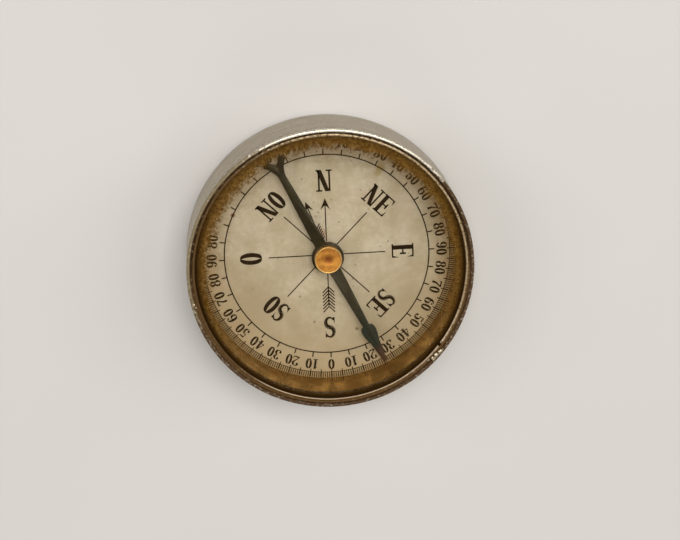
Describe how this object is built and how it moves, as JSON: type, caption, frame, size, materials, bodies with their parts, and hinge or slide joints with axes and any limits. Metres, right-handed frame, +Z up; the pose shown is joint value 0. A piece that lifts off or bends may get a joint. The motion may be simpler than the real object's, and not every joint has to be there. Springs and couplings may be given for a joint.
{
  "type": "pocket compass",
  "caption": "Drum-shaped pocket compass: metal case, glazed paper dial with quadrant degrees, and a freely turning forked needle on a pivot.",
  "frame": {"origin": "centre of the flat underside, where the compass rests on its back", "axes": "+Z up through the dial along the needle's pivot, +Y towards the dial's north, +X towards the dial's east"},
  "size_m": [0.04, 0.04, 0.0112],
  "materials": {
    "plated_case": "worn nickel plate on brass, satin, with a bright rubbed lip",
    "ring_metal": "dull pale brass with dark blotches",
    "crystal_glass": "clear flat glass with brown grime round its edge",
    "wall_brass": "aged golden brown brass, semi-polished",
    "dial_paper": "aged cream paper printed in black",
    "plate_brass": "plain sheet brass",
    "packing_card": "grey board",
    "post_brass": "turned brass",
    "pin_steel": "polished steel point",
    "needle_steel": "blued steel gone olive black",
    "cap_brass": "orange-golden turned brass, bright rim",
    "jewel_stone": "polished agate"
  },
  "bodies": {
    "case": {"case_shell": "plated_case", "packing_ring": "packing_card", "dial_plate": "plate_brass", "dial_card": "dial_paper", "spacer_ring": "wall_brass", "crystal": "crystal_glass", "retaining_ring": "ring_metal", "pivot_post": "post_brass", "pivot_nut": "post_brass", "pivot_pin": "pin_steel"},
    "needle": {"needle_blade": "needle_steel", "needle_cap": "cap_brass", "cap_collar": "cap_brass", "cap_jewel": "jewel_stone"}
  },
  "joints": [
    {"name": "needle_spin", "type": "hinge", "parent": "case", "child": "needle", "pos_m": [0, 0, 0.0045], "axis": [0, 0, 1], "continuous": true}
  ]
}
